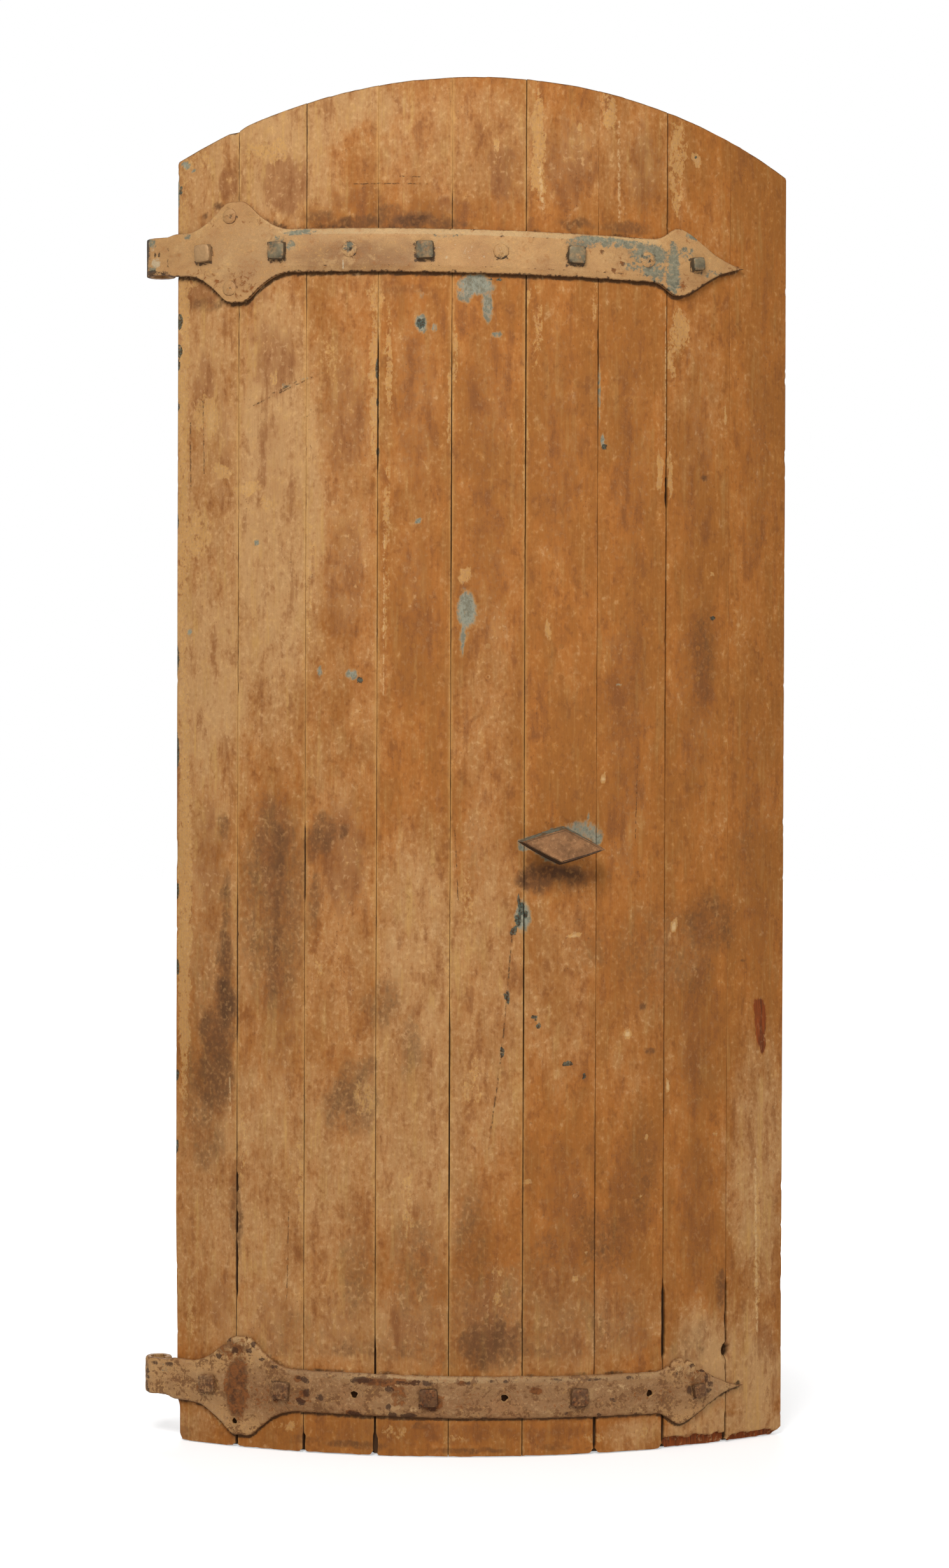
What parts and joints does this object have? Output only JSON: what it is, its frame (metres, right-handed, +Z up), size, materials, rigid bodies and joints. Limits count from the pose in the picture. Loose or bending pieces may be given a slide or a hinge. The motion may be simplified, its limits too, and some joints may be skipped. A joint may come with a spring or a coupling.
{
  "type": "arched door leaf",
  "caption": "Arched boarded door leaf, bowed in plan, hung on strap hinges with rolled eyes, with a turning lozenge knob that lifts a latch bar on the back.",
  "frame": {"origin": "on the hinge axis, at mid height of the lower hinge eye", "axes": "+Z up along the hinge axis, +X from the hinge edge towards the closing edge, -Y out of the front face at the middle of the leaf"},
  "size_m": [0.8747, 0.2326, 1.83],
  "materials": {
    "painted_boards": "worn orange-brown paint over older coats, matt",
    "ledge_wood": "aged oak, unpainted, matt",
    "painted_strap_iron": "worn tan paint over rust",
    "fastener_iron": "worn paint and bare grey iron",
    "knob_iron": "painted, worn at the edges",
    "black_iron": "dark forged iron, lightly rusted"
  },
  "bodies": {
    "leaf": {"board_1": "painted_boards", "board_2": "painted_boards", "board_3": "painted_boards", "board_4": "painted_boards", "board_5": "painted_boards", "board_6": "painted_boards", "board_7": "painted_boards", "board_8": "painted_boards", "board_9": "painted_boards", "upper_ledge": "ledge_wood", "middle_ledge": "ledge_wood", "lower_ledge": "ledge_wood", "upper_strap": "painted_strap_iron", "lower_strap": "painted_strap_iron", "upper_strap_eye": "painted_strap_iron", "lower_strap_eye": "painted_strap_iron", "upper_strap_bolts": "fastener_iron", "lower_strap_bolts": "fastener_iron", "upper_strap_screws": "fastener_iron", "upper_strap_washers": "black_iron", "lower_strap_washers": "black_iron", "upper_strap_nuts": "black_iron", "lower_strap_nuts": "black_iron", "upper_ledge_screws": "black_iron", "middle_ledge_nails": "black_iron", "lower_ledge_screws": "black_iron", "latch_pivot": "black_iron", "pivot_spacer": "black_iron", "latch_guide": "black_iron", "guide_screws": "black_iron"},
    "handle": {"handle_knob": "knob_iron", "latch_lifter": "black_iron", "spindle_nut": "black_iron"},
    "latch": {"latch_bar": "black_iron"}
  },
  "joints": [
    {"name": "knob_turn", "type": "hinge", "parent": "leaf", "child": "handle", "pos_m": [0.53106, -0.15408, 0.72941], "axis": [0.1279, -0.9918, 0], "range_deg": [0, 30]},
    {"name": "latch_lift", "type": "hinge", "parent": "leaf", "child": "latch", "pos_m": [0.43832, -0.13004, 0.75481], "axis": [0, -1, 0], "range_deg": [0, 6.75]}
  ],
  "couplings": [
    {"joint": "latch_lift", "follows": "knob_turn", "ratio": 0.223}
  ]
}
